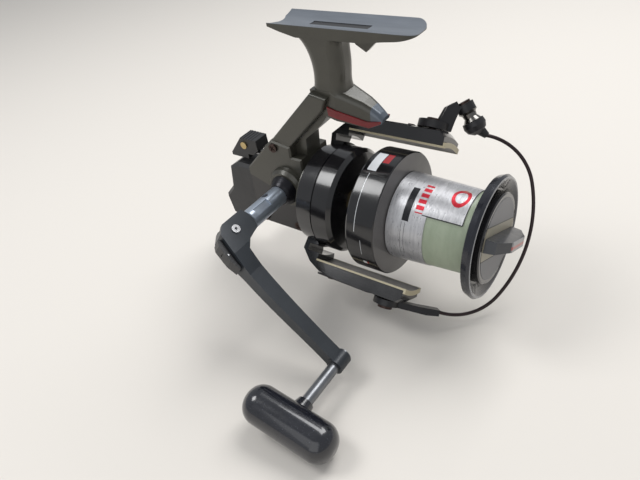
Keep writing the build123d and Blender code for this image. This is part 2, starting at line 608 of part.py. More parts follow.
eye_end = -roller_length / 2 - 0.2
holder_start = roller_length / 2 + 0.2
with BuildPart() as bail_lever:
    rod(pivot_point + bail_up * boss_inner, bail_up, boss_radius, boss_outer - boss_inner)
    with BuildSketch(bail_plane):
        with BuildLine():
            Polyline((-3.0, boss_inner), (-3.0, boss_outer), (2.0, boss_outer + 1.4), (4.0, 58.5), (8.0, 62.0),
                     (12.5, 61.5), (10.6, 58.0), (9.6, 52.0), (9.0, boss_inner + 0.4), (6.0, boss_inner),
                     close=True)
        make_face()
    extrude(amount=lever_half, both=True)
    rod(along_roller(eye_end), -roller_axis_dir, 4.8, 4.2)
    rod(along_roller(-15), roller_axis_dir, 1.5, 20, Mode.SUBTRACT)
    rod(along_roller(eye_end), roller_axis_dir, 6.5, 6.0, Mode.SUBTRACT)
    rod(along_roller(eye_end - 4.2), -roller_axis_dir, 5.4, 8.0, Mode.SUBTRACT)
    rod(pivot_point + bail_up * boss_outer, bail_up, 4.3, 9.0, Mode.SUBTRACT)
    rod(pivot_point + bail_up * (boss_inner - 1), bail_up, pivot_screw_radius + running_gap, 6, Mode.SUBTRACT)
bail_lever.part.label = "bail_lever"
export_step(bail_lever.part, "parts/bail_lever.step")

with BuildPart() as roller_screw:
    rod(along_roller(eye_end - 4.2), -roller_axis_dir, 3.6, 1.2)
    rod(along_roller(eye_end - 4.2), roller_axis_dir, 1.5, holder_start + 3.0 - eye_end + 4.2)
    with BuildSketch(Plane(origin=along_roller(eye_end - 5.4), z_dir=roller_axis_dir)):
        Rectangle(5.2, 0.9)
    extrude(amount=0.7, mode=Mode.SUBTRACT)
roller_screw.part.label = "roller_screw"
export_step(roller_screw.part, "parts/roller_screw.step")

with BuildPart() as roller_bush:
    rod(along_roller(eye_end), roller_axis_dir, roller_bush_radius, holder_start - eye_end)
    rod(along_roller(eye_end - 1), roller_axis_dir, 1.5, holder_start - eye_end + 2, Mode.SUBTRACT)
roller_bush.part.label = "roller_bush"
export_step(roller_bush.part, "parts/roller_bush.step")

with BuildPart() as line_roller:
    with BuildSketch(Plane(origin=along_roller(0), x_dir=roller_axis_dir, z_dir=bail_plane.z_dir)):
        with BuildLine():
            Polyline((-roller_length / 2, roller_bush_radius + running_gap),
                     (-roller_length / 2, roller_radius + 0.8),
                     (-1.4, roller_radius - 0.6), (0.6, roller_radius - 1.0),
                     (roller_length / 2, roller_radius + 0.3),
                     (roller_length / 2, roller_bush_radius + running_gap), close=True)
        make_face()
    revolve(axis=Axis(along_roller(0), roller_axis_dir))
line_roller.part.label = "line_roller"
export_step(line_roller.part, "parts/line_roller.step")

wire_start = (28.6, 49.6)
wire_end = (28.8, -46.9)
with BuildPart() as wire_holder:
    with BuildSketch(Plane(origin=along_roller(holder_start), x_dir=roller_axis_dir, z_dir=bail_plane.z_dir)):
        with BuildLine():
            Polyline((0, 0), (0, 5.6), (2.6, 6.0), (5.2, 5.0), (7.2, 2.4), (7.2, 0), close=True)
        make_face()
    revolve(axis=Axis(along_roller(0), roller_axis_dir))
    rod(along_roller(holder_start - 1), roller_axis_dir, 1.5, 4.1, Mode.SUBTRACT)
    holder_middle = along_roller(holder_start + 3)
    wire_root = bail_point(*wire_start)
    with BuildSketch(Plane(origin=holder_middle, z_dir=wire_root - holder_middle)):
        Circle(3.6)
    with BuildSketch(Plane(origin=wire_root, z_dir=wire_root - holder_middle)):
        Circle(1.7)
    loft()
    rod(along_roller(holder_start - 1), roller_axis_dir, 1.5, 4.1, Mode.SUBTRACT)
wire_holder.part.label = "wire_holder"
export_step(wire_holder.part, "parts/wire_holder.step")

with BuildPart() as bail_wire:
    with BuildLine(bail_plane) as wire_path:
        front_arc = ThreePointArc((58.7, 31.8), (65.4, 2.0), (57.6, -31.1))
        TangentArc(front_arc @ 0, wire_start, tangent=-(front_arc % 0))
        TangentArc(front_arc @ 1, wire_end, tangent=front_arc % 1)
    path = wire_path.wires()[0]
    with BuildSketch(Plane(origin=path @ 0, z_dir=path % 0)):
        Circle(wire_radius)
    sweep(path=path)
bail_wire.part.label = "bail_wire"
export_step(bail_wire.part, "parts/bail_wire.step")

with BuildPart() as bail_arm:
    rod(pivot_point - bail_up * boss_inner, -bail_up, boss_radius - 1, 3.2)
    with BuildSketch(bail_plane):
        with BuildLine():
            Polyline((-2.0, -boss_inner), (17.5, -boss_inner), (wire_end[0], -45.4), (wire_end[0], -48.6),
                     (22.0, -49.6), (-2.0, -boss_inner - 3.2), close=True)
        make_face()
    extrude(amount=3.4, both=True)
    rod(pivot_point - bail_up * (boss_inner - 1), -bail_up, pivot_screw_radius + running_gap, 6, Mode.SUBTRACT)
bail_arm.part.label = "bail_arm"
export_step(bail_arm.part, "parts/bail_arm.step")

# ---- main shaft, slider and worm ----
shaft_rear, shaft_front = -64.0, 73.0
with BuildPart() as main_shaft:
    ring(shaft_rear, shaft_front, 0, shaft_radius)
main_shaft.part.label = "main_shaft"
export_step(main_shaft.part, "parts/main_shaft.step")

with BuildPart() as slider_block:
    slab([(shaft_rear + 0.5, spool_z + 4.4), (shaft_rear + 9, spool_z + 4.4), (shaft_rear + 9, worm_z - 4.4),
          (shaft_rear + 0.5, worm_z - 4.4)], 4.0)
    ring(shaft_rear - 1, shaft_rear + 10, 0, shaft_radius, Mode.SUBTRACT)
    rod((shaft_rear - 1, 0, worm_z), (1, 0, 0), worm_radius + 0.15, 12, Mode.SUBTRACT)
slider_block.part.label = "slider_block"
export_step(slider_block.part, "parts/slider_block.step")

worm_gear_rear = pinion_rear + 0.5
with BuildPart() as crosswind_worm:
    rod((worm_rear, 0, worm_z), (1, 0, 0), worm_radius, worm_gear_rear - worm_rear)
    for turn_number in range(9):
        x = worm_rear + 4 + 5.5 * turn_number
        for lean in (28, -28):
            with BuildSketch(Plane(origin=(x, 0, worm_z), x_dir=(0, 1, 0),
                                   z_dir=(cos(radians(lean)), sin(radians(lean)), 0))):
                Circle(worm_radius + 3)
                Circle(worm_radius - 0.5, mode=Mode.SUBTRACT)
            extrude(amount=0.5, both=True, mode=Mode.SUBTRACT)
    rod((worm_rear - 2.3, 0, worm_z), (1, 0, 0), worm_journal, 3)
    rod((worm_gear_rear, 0, worm_z), (1, 0, 0), worm_journal, snout_front - worm_gear_rear - 0.6)
    with BuildSketch(Plane(origin=(worm_gear_rear, 0, worm_z), x_dir=(0, 1, 0), z_dir=(1, 0, 0))):
        Circle(worm_drop - pinion_radius - 0.2)
        with PolarLocations(worm_drop - pinion_radius - 0.2, 18):
            Circle(0.7, mode=Mode.SUBTRACT)
    extrude(amount=worm_gear_width)
crosswind_worm.part.label = "crosswind_worm"
export_step(crosswind_worm.part, "parts/crosswind_worm.step")

# ---- spool ----
skirt_inner = skirt_radius - skirt_wall
core_inner = core_radius - core_wall
clip_x = web_front + 9.0
with BuildPart() as spool_body:
    turn([(skirt_rear, skirt_inner), (skirt_rear, skirt_radius - 0.5), (skirt_rear + 0.8, skirt_radius),
          (skirt_front - 0.6, skirt_radius + 0.1), (skirt_front, skirt_radius - 0.5),
          (skirt_front + 0.9, core_radius),
          (lip_front - 3.7, core_radius), (lip_front - 3.7, core_inner), (web_front, core_inner),
          (web_front, shaft_radius + running_gap), (32.0, shaft_radius + running_gap), (32.0, 6.5),
          (web_rear, 6.5),
          (web_rear, core_inner), (skirt_front - 2.2, core_inner), (skirt_front - 2.2, skirt_inner)])
    ring(clip_x, clip_x + 1.1, core_inner - 1, core_inner + 0.6, Mode.SUBTRACT)
spool_body.part.label = "spool_body"
export_step(spool_body.part, "parts/spool_body.step")

with BuildPart() as lip_ring:
    with BuildSketch(spool_plane):
        with BuildLine():
            Polyline((lip_rear, core_radius), (lip_rear + 0.4, lip_radius - 4.5),
                     (lip_rear + 1.8, lip_radius - 1.0),
                     (lip_front - 1.6, lip_radius), (lip_front - 0.2, lip_radius - 0.8),
                     (lip_front, lip_radius - 1.6), (lip_front - 0.3, lip_radius - 2.4),
                     (lip_front - 2.2, knob_radius + 2.4), (lip_front - 3.7, knob_radius + 1.0),
                     (lip_front - 3.7, core_radius), close=True)
        make_face()
    revolve(axis=spool_axis)
lip_ring.part.label = "lip_ring"
export_step(lip_ring.part, "parts/lip_ring.step")

fill_rear, fill_front = skirt_front + 1.2, lip_rear - 0.05
band_front, patch_front = 45.5, 63.5
patch_roll, patch_half_angle = 20.0, 66.5
band_thickness = 0.35


def fill_radius(x):
    """Outer radius over the wound line and its label, which tapers towards the front."""
    return fill_rear_radius + (fill_front_radius - fill_rear_radius) * (x - fill_rear) / (fill_front - fill_rear)


with BuildPart() as line_fill:
    turn([(fill_rear, core_radius), (fill_rear, fill_rear_radius - band_thickness),
          (fill_front, fill_front_radius - band_thickness), (fill_front, core_radius)])
line_fill.part.label = "line_fill"
export_step(line_fill.part, "parts/line_fill.step")

with BuildPart() as label_band:
    turn([(fill_rear, fill_rear_radius - band_thickness), (fill_rear, fill_rear_radius),
          (band_front, fill_radius(band_front)), (band_front, fill_radius(band_front) - band_thickness)])
    spoke([(band_front, fill_radius(band_front) - band_thickness), (band_front, fill_radius(band_front)),
           (patch_front, fill_radius(patch_front)), (patch_front, fill_radius(patch_front) - band_thickness)],
          patch_roll, patch_half_angle)
label_band.part.label = "label_band"
export_step(label_band.part, "parts/label_band.step")

with BuildPart() as click_wheel:
    with BuildSketch(Plane(origin=(web_rear - 4, 0, spool_z), x_dir=(0, 1, 0), z_dir=(1, 0, 0))):
        Circle(12.0)
        with PolarLocations(12.0, 30):
            Circle(0.7, mode=Mode.SUBTRACT)
        Circle(6.5, mode=Mode.SUBTRACT)
    extrude(amount=1.6)
click_wheel.part.label = "click_wheel"
export_step(click_wheel.part, "parts/click_wheel.step")

# ---- drag stack inside the spool ----
pitch = washer_thickness + washer_gap
stack_start = web_front + washer_gap
with BuildPart() as drag_felts:
    for layer in range(3):
        x = stack_start + 2 * layer * pitch
        ring(x, x + washer_thickness, shaft_radius + 0.6, core_inner - 0.1)
drag_felts.part.label = "drag_felts"
export_step(drag_felts.part, "parts/drag_felts.step")

with BuildPart() as drag_washers:
    for layer in range(3):
        x = stack_start + (2 * layer + 1) * pitch
        ring(x, x + washer_thickness, shaft_radius, core_inner - 1.6)
drag_washers.part.label = "drag_washers"
export_step(drag_washers.part, "parts/drag_washers.step")
stack_end = stack_start + 6 * pitch

with BuildPart() as drag_clip:
    ring(clip_x, clip_x + 1.1, core_inner - 1.6, core_inner + 0.5)
drag_clip.part.label = "drag_clip"
export_step(drag_clip.part, "parts/drag_clip.step")

# ---- drag knob ----
hub_radius = 9.0
with BuildPart() as drag_knob:
    turn([(stack_end + 3.0, 6.2), (stack_end + 3.0, hub_radius), (knob_rear, hub_radius),
          (knob_rear, knob_radius - 0.6),
          (knob_rear + 0.6, knob_radius), (knob_front - 0.6, knob_radius), (knob_front, knob_radius - 0.6),
          (knob_front, knob_radius - 2.4), (knob_front - 0.8, knob_radius - 2.4), (knob_front - 0.8, 0),
          (shaft_front + 0.3, 0), (shaft_front + 0.3, 2.8), (66.0, 2.8), (66.0, 6.2)])
drag_knob.part.label = "drag_knob"
export_step(drag_knob.part, "parts/drag_knob.step")

with BuildPart() as drag_nut:
    with BuildSketch(Plane(origin=(61.5, 0, spool_z), x_dir=(0, 1, 0), z_dir=(1, 0, 0))):
        RegularPolygon(6.1, 6)
        Circle(shaft_radius + running_gap, mode=Mode.SUBTRACT)
    extrude(amount=4.4)
drag_nut.part.label = "drag_nut"
export_step(drag_nut.part, "parts/drag_nut.step")

with BuildPart() as drag_spring:
    turn([(stack_end + 0.1, 5.6), (stack_end + 1.6, 3.0), (stack_end + 2.1, 3.0), (stack_end + 0.6, 6.0),
          (stack_end + 2.9, 7.8), (stack_end + 2.9, 8.4), (stack_end + 0.1, 6.2)])
drag_spring.part.label = "drag_spring"
export_step(drag_spring.part, "parts/drag_spring.step")

bar_dir = (0, cos(radians(bar_angle)), sin(radians(bar_angle)))
bar_plane = Plane(origin=(knob_front - 0.75, 0, spool_z), x_dir=bar_dir, z_dir=(1, 0, 0))
with BuildPart() as drag_face:
    with BuildSketch(bar_plane):
        Circle(knob_radius - 2.5)
        Rectangle(2 * bar_half_length, 2 * bar_half_width, mode=Mode.SUBTRACT)
    extrude(amount=0.9)
drag_face.part.label = "drag_face"
export_step(drag_face.part, "parts/drag_face.step")

bar_height = bar_top - knob_front + 0.75
with BuildPart() as drag_bar:
    with BuildSketch(bar_plane):
        Rectangle(2 * bar_half_length, 2 * bar_half_width)
    extrude(amount=bar_height, taper=5)
    with BuildSketch(Plane(origin=bar_plane.origin, x_dir=bar_plane.x_dir, z_dir=-bar_plane.y_dir)):
        with BuildLine():
            Polyline((-bar_half_length - 1, bar_height + 1), (-bar_half_length - 1, bar_height * 0.5),
                     (-bar_half_length * 0.45, bar_height), (bar_half_length * 0.45, bar_height),
                     (bar_half_length + 1, bar_height * 0.5), (bar_half_length + 1, bar_height + 1), close=True)
        make_face()
    extrude(amount=bar_half_width + 2, both=True, mode=Mode.SUBTRACT)
drag_bar.part.label = "drag_bar"
export_step(drag_bar.part, "parts/drag_bar.step")

# ---- crank ----
with BuildPart() as handle_collar:
    turn_handle([(collar_start_y, drive_shaft_radius), (collar_start_y, 9.0), (-18.0, 8.4), (-20.4, 7.2),
                 (sleeve_start_y, 6.2), (sleeve_start_y, drive_shaft_radius)])
handle_collar.part.label = "handle_collar"
export_step(handle_collar.part, "parts/handle_collar.step")

crank_reach = Vector(crank_end_x - handle_x, 0, crank_end_z - handle_z)
crank_length = crank_reach.length
crank_dir = crank_reach.normalized()
pin_dir = Vector(-crank_dir.Z, 0, crank_dir.X)
crank_plane = Plane(origin=(handle_x, 0, handle_z), x_dir=crank_dir, z_dir=pin_dir)
slot_start_y, slot_end_y = -27.5, -44.5
with BuildPart() as handle_sleeve:
    turn_handle([(sleeve_start_y, 0), (sleeve_start_y, sleeve_radius), (sleeve_end_y + 0.8, sleeve_radius),
                 (sleeve_end_y, sleeve_radius - 0.8), (sleeve_end_y, 0)])
    # tongue that the knuckle folds on
    with BuildSketch(crank_plane):
        with BuildLine():
            Polyline((-tongue_radius, fold_y), (-tongue_radius, sleeve_end_y + 1),
                     (tongue_radius, sleeve_end_y + 1), (tongue_radius, fold_y))
            ThreePointArc((tongue_radius, fold_y), (0, fold_y - tongue_radius), (-tongue_radius, fold_y))
        make_face()
    extrude(amount=tongue_half_width, both=True)
    pin_start = Vector(handle_x, fold_y, handle_z) - pin_dir * 10
    rod(pin_start, pin_dir, fold_pin_radius, 20, Mode.SUBTRACT)
    # long slot and screw notch on the upper side
    slot_plane = Plane(origin=Vector(handle_x, 0, handle_z) + pin_dir * (sleeve_radius - 1.0), x_dir=(0, -1, 0),
                       z_dir=pin_dir)
    with BuildSketch(slot_plane):
        with Locations(((-slot_start_y - slot_end_y) / 2 + 3, 0)):
            Rectangle(slot_start_y - slot_end_y - 6, 4.2)
    extrude(amount=3, mode=Mode.SUBTRACT)
    screw_base = Vector(handle_x, -31.2, handle_z) + Vector(0, 0, 1) * 1.5
    rod(screw_base, (-0.35, 0, 0.94), 1.9, 6, Mode.SUBTRACT)
handle_sleeve.part.label = "handle_sleeve"
export_step(handle_sleeve.part, "parts/handle_sleeve.step")

with BuildPart() as sleeve_screw:
    rod(screw_base, (-0.35, 0, 0.94), 1.85, 3.2)
sleeve_screw.part.label = "sleeve_screw"
export_step(sleeve_screw.part, "parts/sleeve_screw.step")

knuckle_swing = sleeve_end_y - fold_y - 0.4
knuckle_side = 6.4
knuckle_side_y = fold_y + (knuckle_swing ** 2 - knuckle_side ** 2) ** 0.5
fork_root_y = fold_y - tongue_radius - 1.2
release_x, release_y = 7.0, fold_y - 12.1
release_point = Vector(handle_x, release_y, handle_z) + crank_dir * release_x
ear_half_width = 1.2
with BuildPart() as handle_arm:
    with BuildSketch(crank_plane):
        with BuildLine():
            outer_edge = Spline((5.0, fold_y - 10.1), (28.8, fold_y - 13.2), (55.6, fold_y - 14.4),
                                (crank_length, arm_tip_outer_y + 0.1))
            inner_edge = Spline((12.0, fold_y - 2.1), (28.8, fold_y - 4.4), (55.6, fold_y - 6.6),
                                (crank_length, arm_tip_inner_y - 0.6))
            Line(outer_edge @ 1, inner_edge @ 1)
            Polyline(inner_edge @ 0, (8.2, fold_y + 2.4), (knuckle_side, knuckle_side_y))
            ThreePointArc((knuckle_side, knuckle_side_y), (0, fold_y + knuckle_swing),
                          (-knuckle_side, knuckle_side_y))
            Polyline((-knuckle_side, knuckle_side_y), (-knuckle_side, fold_y - 3.8), (-3.0, fold_y - 8.4),
                     outer_edge @ 0)
        make_face()
    extrude(amount=knuckle_half_width, both=True)
    # the arm narrows from the knuckle to its tip
    with BuildSketch(Plane(origin=(handle_x, -80, handle_z), x_dir=crank_dir, z_dir=(0, 1, 0))):
        with BuildLine():
            Polyline((-8, knuckle_half_width), (9, knuckle_half_width), (22, 4.2), (crank_length - 12, 3.4),
                     (crank_length + 6, 3.4), (crank_length + 6, -3.4), (crank_length - 12, -3.4), (22, -4.2),
                     (9, -knuckle_half_width), (-8, -knuckle_half_width), close=True)
        make_face()
    extrude(amount=40, mode=Mode.INTERSECT)
    rod((crank_end_x, arm_tip_inner_y, crank_end_z), (0, -1, 0), 4.6, arm_tip_inner_y - arm_tip_outer_y)
    # fork slot for the tongue, open towards the sleeve and the back
    with BuildSketch(crank_plane):
        with BuildLine():
            Polyline((-8.5, sleeve_end_y + 5), (8.5, sleeve_end_y + 5), (8.5, fork_root_y), (-8.5, fork_root_y),
                     close=True)
        make_face()
    extrude(amount=tongue_half_width + 0.15, both=True, mode=Mode.SUBTRACT)
    # ear that carries the release lever
    with BuildSketch(crank_plane):
        with BuildLine():
            Polyline((release_x - 1.8, fold_y - 9.0), (release_x + 1.8, fold_y - 9.0),
                     (release_x + 1.2, release_y - 0.9), (release_x - 1.2, release_y - 0.9), close=True)
        make_face()
    extrude(amount=ear_half_width, both=True)
    rod(release_point - pin_dir * 5, pin_dir, release_pin_radius, 10, Mode.SUBTRACT)
    rod(pin_start, pin_dir, fold_pin_radius, 20, Mode.SUBTRACT)
    rod((crank_end_x, arm_tip_inner_y + 10, crank_end_z), (0, -1, 0), knob_core_radius, 30, Mode.SUBTRACT)
handle_arm.part.label = "handle_arm"
export_step(handle_arm.part, "parts/handle_arm.step")

with BuildPart() as fold_pin:
    pin_foot = Vector(handle_x, fold_y, handle_z) - pin_dir * (knuckle_half_width + 0.4)
    rod(pin_foot, pin_dir, fold_pin_radius - 0.05, 2 * knuckle_half_width + 0.4)
    rod(pin_foot + pin_dir * (2 * knuckle_half_width + 0.4), pin_dir, 2.3, 0.6)
    rod(pin_foot + pin_dir * (2 * knuckle_half_width - 1), pin_dir, 0.8, 4, Mode.SUBTRACT)
fold_pin.part.label = "fold_pin"
export_step(fold_pin.part, "parts/fold_pin.step")

with BuildPart() as release_lever:
    with BuildSketch(crank_plane):
        with BuildLine():
            Polyline((-1.6, fold_y - 9.1), (5.0, fold_y - 10.4), (release_x, fold_y - 10.8),
                     (16.0, fold_y - 12.8),
                     (16.4, fold_y - 13.6), (10.0, fold_y - 14.2), (0.5, fold_y - 12.6), (-1.9, fold_y - 10.8),
                     close=True)
        make_face()
    extrude(amount=3.6, both=True)
    with BuildSketch(crank_plane):
        with BuildLine():
            Polyline((release_x - 2.8, fold_y - 8.0), (release_x + 2.8, fold_y - 8.0),
                     (release_x + 2.8, release_y - 1.2), (release_x - 2.8, release_y - 1.2), close=True)
        make_face()
    extrude(amount=ear_half_width + 0.15, both=True, mode=Mode.SUBTRACT)
    rod(release_point - pin_dir * 5, pin_dir, release_pin_radius, 10, Mode.SUBTRACT)
release_lever.part.label = "release_lever"
export_step(release_lever.part, "parts/release_lever.step")

with BuildPart() as release_pin:
    rod(release_point - pin_dir * 3.4, pin_dir, release_pin_radius - 0.05, 6.8)
release_pin.part.label = "release_pin"
export_step(release_pin.part, "parts/release_pin.step")

# ---- knob shaft and grip ----
knob_core_reach = 3.7
with BuildPart() as knob_shaft:
    rod((crank_end_x, arm_tip_inner_y + 0.8, crank_end_z), (0, -1, 0), 4.0, 0.8)
    rod((crank_end_x, arm_tip_inner_y + 0.5, crank_end_z), (0, -1, 0), knob_core_radius,
        arm_tip_inner_y + 0.5 - grip_centre_y + knob_core_reach)
    rod((crank_end_x, arm_tip_outer_y, crank_end_z), (0, -1, 0), knob_shaft_radius,
        arm_tip_outer_y - grip_neck_y - 0.3)
knob_shaft.part.label = "knob_shaft"
export_step(knob_shaft.part, "parts/knob_shaft.step")

tilt = radians(grip_tilt)
grip_dir = Vector(cos(tilt), 0, -sin(tilt))
grip_centre = Vector(crank_end_x, grip_centre_y, crank_end_z)
half = grip_length / 2
grip_end_radius = grip_radius * 0.86
with BuildPart() as handle_knob:
    with BuildSketch(Plane(origin=grip_centre, x_dir=grip_dir, z_dir=(0, 1, 0))):
        with BuildLine():
            flat = grip_radius - grip_end_radius
            left_end = RadiusArc((-half, flat), (grip_end_radius - half, grip_radius), grip_end_radius)
            right_end = RadiusArc((half - grip_end_radius, grip_radius), (half, flat), grip_end_radius)
            Line(left_end @ 1, right_end @ 0)
            Polyline(right_end @ 1, (half, 0), (-half, 0), left_end @ 0)
        make_face()
    revolve(axis=Axis(grip_centre, grip_dir))
    with BuildSketch(Plane(origin=(crank_end_x, grip_neck_y, crank_end_z), z_dir=(0, -1, 0))):
        Circle(grip_neck_radius)
    extrude(amount=6, taper=-12)
    rod((crank_end_x, grip_neck_y + 1, crank_end_z), (0, -1, 0), knob_core_radius + running_gap,
        grip_neck_y + 1 - grip_centre_y + knob_core_reach + 0.5, Mode.SUBTRACT)
handle_knob.part.label = "handle_knob"
export_step(handle_knob.part, "parts/handle_knob.step")
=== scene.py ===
from math import cos, pi, radians, sin

import bpy
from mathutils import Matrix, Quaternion, Vector


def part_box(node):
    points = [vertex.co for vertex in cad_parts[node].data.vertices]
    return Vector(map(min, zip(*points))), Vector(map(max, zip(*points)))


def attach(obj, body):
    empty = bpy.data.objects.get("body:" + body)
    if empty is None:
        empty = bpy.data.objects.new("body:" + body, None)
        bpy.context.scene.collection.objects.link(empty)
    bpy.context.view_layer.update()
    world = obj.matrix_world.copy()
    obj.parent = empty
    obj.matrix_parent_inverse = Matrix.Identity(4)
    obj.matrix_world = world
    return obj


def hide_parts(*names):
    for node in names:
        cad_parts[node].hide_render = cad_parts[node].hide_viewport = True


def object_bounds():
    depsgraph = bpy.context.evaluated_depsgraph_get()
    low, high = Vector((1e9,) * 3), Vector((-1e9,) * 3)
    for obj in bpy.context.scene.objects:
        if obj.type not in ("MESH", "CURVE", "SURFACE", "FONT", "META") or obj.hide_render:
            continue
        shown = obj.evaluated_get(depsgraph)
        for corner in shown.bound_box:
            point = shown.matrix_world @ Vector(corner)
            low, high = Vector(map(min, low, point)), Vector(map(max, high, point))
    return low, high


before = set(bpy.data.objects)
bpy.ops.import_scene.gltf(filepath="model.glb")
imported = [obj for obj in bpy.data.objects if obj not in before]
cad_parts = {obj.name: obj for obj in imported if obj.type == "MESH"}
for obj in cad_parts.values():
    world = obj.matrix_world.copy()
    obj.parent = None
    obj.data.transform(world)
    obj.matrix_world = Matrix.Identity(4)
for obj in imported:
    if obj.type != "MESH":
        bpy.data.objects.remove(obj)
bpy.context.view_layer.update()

scene = bpy.context.scene
scene.view_settings.view_transform = "Standard"

# ---- Frame casting: foot, stem, strut and gear housing, with its side cover ----
# One aluminium casting, machined at the snout and sprayed bronze-grey, with the lower half of the housing
# in charcoal. The paint is satin with a fine orange peel. The hollow seat on top of the foot carries a
# painted reflection of the sky, pale blue-grey and streaked along the foot.


class Value:
    """A shader socket that takes part in arithmetic."""

    def __init__(self, paint, socket):
        self.paint = paint
        self.socket = socket

    def math(self, operation, *others):
        return self.paint.node("Math", {"operation": operation}, {0: self, **dict(enumerate(others, 1))})

    def __add__(self, other):
        return self.math("ADD", other)

    __radd__ = __add__

    def __sub__(self, other):
        return self.math("SUBTRACT", other)

    def __rsub__(self, other):
        return self.paint.node("Math", {"operation": "SUBTRACT"}, {0: other, 1: self})

    def __mul__(self, other):
        return self.math("MULTIPLY", other)

    __rmul__ = __mul__

    def __truediv__(self, other):
        return self.math("DIVIDE", other)

    def __gt__(self, other):
        return self.math("GREATER_THAN", other)

    def __lt__(self, other):
        return self.math("LESS_THAN", other)

    def within(self, low, high):
        return (self > low) * (self < high)


class Paint:
    """A material with a Principled shader, and the nodes that feed it."""

    def __init__(self, name, **fixed):
        self.material = bpy.data.materials.new(name)
        self.material.use_nodes = True
        self.tree = self.material.node_tree
        self.shader = next(n for n in self.tree.nodes if n.type == "BSDF_PRINCIPLED")
        self.place = self.node("TexCoord", output="Object")
        for socket, value in fixed.items():
            self.feed(socket.replace("_", " "), value)

    def node(self, kind, settings=None, inputs=None, output=0):
        """Any other node: its type, its settings, and the values or links of its sockets."""
        made = self.tree.nodes.new("ShaderNode" + kind)
        for key, value in (settings or {}).items():
            setattr(made, key, value)
        for key, value in (inputs or {}).items():
            self.fill(made.inputs[key], value)
        return Value(self, made.outputs[output])

    def fill(self, socket, value):
        if isinstance(value, Value):
            self.tree.links.new(value.socket, socket)
        else:
            socket.default_value = (*value, 1) if socket.type == "RGBA" else value

    def feed(self, socket, value):
        self.fill(self.shader.inputs[socket], value)

    def noise(self, scale, detail=3, stretch=(1, 1, 1), roughness=0.55):
        place = self.node("Mapping", {}, {"Vector": self.place, "Scale": stretch})
        return self.node("TexNoise", {}, {"Vector": place, "Scale": scale, "Detail": detail,
                                          "Roughness": roughness})

    def blend(self, amount, low, high):
        return self.node("Mix", {"data_type": "RGBA"}, {0: amount, 6: low, 7: high}, 2)

    def tone(self, dark, light, *grain):
        """Base colour clouded between two tones."""
        self.feed("Base Color", self.blend(self.noise(*grain), dark, light))

    def sheen(self, smooth, dull, *grain):
        """Roughness that wanders between two values."""
        self.feed("Roughness", self.noise(*grain) * (dull - smooth) + smooth)

    def split(self):
        """The place on the piece as x, y and z."""
        parts = self.node("SeparateXYZ", {}, {0: self.place})
        return [Value(self, socket) for socket in parts.socket.node.outputs]

    def bump(self, height, strength, distance=0.0003):
        bumped = self.node("Bump", {}, {"Height": height, "Strength": strength, "Distance": distance})
        self.feed("Normal", bumped)

    def onto(self, *names):
        for name in names:
            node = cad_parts[name]
            node.data.materials.clear()
            node.data.materials.append(self.material)


def rgb(red, green, blue):
    """Display colour out of 255 as the linear colour a shader wants."""
    return tuple(((c / 255 + 0.055) / 1.055) ** 2.4 if c > 10 else c / 3295 for c in (red, green, blue))


charcoal_slope, charcoal_height = 0.35, -0.1155
seat_radius, seat_depth, seat_bottom, seat_skin = 0.026, 0.002, -0.004, 0.0002

frame_paint = Paint("frame_paint", Metallic=0.35, Coat_Weight=0.35, Coat_Roughness=0.18)
x, y, z = frame_paint.split()
cloud = frame_paint.noise(60, 4)
bronze = frame_paint.blend(cloud, rgb(52, 51, 45), rgb(70, 68, 60))
charcoal = frame_paint.blend(cloud, rgb(28, 27, 28), rgb(40, 38, 39))
below = (z + x * charcoal_slope) < charcoal_height
above = z - (seat_radius - seat_depth)
from_seat_axis = (y * y + above * above).math("SQRT")
seat = (from_seat_axis < seat_radius + seat_skin) * (z > seat_bottom)
# The hollow seat is painted with a streaked pale blue-grey reflection of the sky, not with wear.
sky_streaks = frame_paint.noise(160, 5, (0.15, 1, 1), 0.6)
painted_sky_reflection = frame_paint.blend(sky_streaks, rgb(76, 82, 90), rgb(122, 128, 136))
colour = frame_paint.blend(below, bronze, charcoal)
frame_paint.feed("Base Color", frame_paint.blend(seat, colour, painted_sky_reflection))
frame_paint.feed("Roughness", cloud * 0.16 + 0.3)
frame_paint.bump(frame_paint.noise(900, 2), 0.12)
frame_paint.onto("body_frame", "side_cover")

# ---- Foot inlay, rear cover and the other black mouldings ----
# Glass-filled nylon with the fine grain of its mould: the strip let into the foot, the cover clipped on behind,
# the cap of the left bearing, the anti-reverse lever, the covers of the rotor's arms and the crank's rocker.
moulded = Paint("moulded_black")
moulded.tone(rgb(24, 24, 26), rgb(36, 36, 38), 90)
moulded.sheen(0.32, 0.52, 140)
moulded.bump(moulded.noise(700, 2), 0.15)
moulded.onto("foot_inlay", "rear_cover", "bearing_cap", "anti_reverse_lever", "arm_covers", "release_lever")

# ---- Nose cap ----
# A small casting that closes the tip of the stem's nose, glued on behind a thin seam.
# It is lacquered blue-grey, glossier than the frame.
nose_paint = Paint("nose_gunmetal", Metallic=0.4, Coat_Weight=0.5, Coat_Roughness=0.1)
nose_paint.tone(rgb(66, 74, 84), rgb(90, 98, 108), 80)
nose_paint.sheen(0.25, 0.4, 160)
nose_paint.onto("nose_cap")

# ---- Nose badges ----
# A deep red plastic strip on each side of the nose, pressed into a shallow bed so that it stands just proud.
# The strips are left without lettering.
badge = Paint("badge_red", Coat_Weight=0.2, Coat_Roughness=0.15)
badge.tone(rgb(82, 8, 13), rgb(124, 14, 22), 120, 3, (1, 1, 6))
badge.sheen(0.35, 0.55, 200)
badge.onto("nose_badges")

# ---- Screws ----
# Dark browned steel screws of the side cover, the arm covers, the bail's pivots, the roller and the crank's
# sleeve. Their heads are turned and a little rubbed by the screwdriver.
dark_steel = Paint("dark_steel", Metallic=0.9)
dark_steel.tone(rgb(48, 38, 36), rgb(78, 64, 60), 300)
dark_steel.sheen(0.28, 0.48, 500)
dark_steel.onto("cover_screws", "arm_cover_screws", "bail_pivot_screws", "roller_screw", "sleeve_screw")

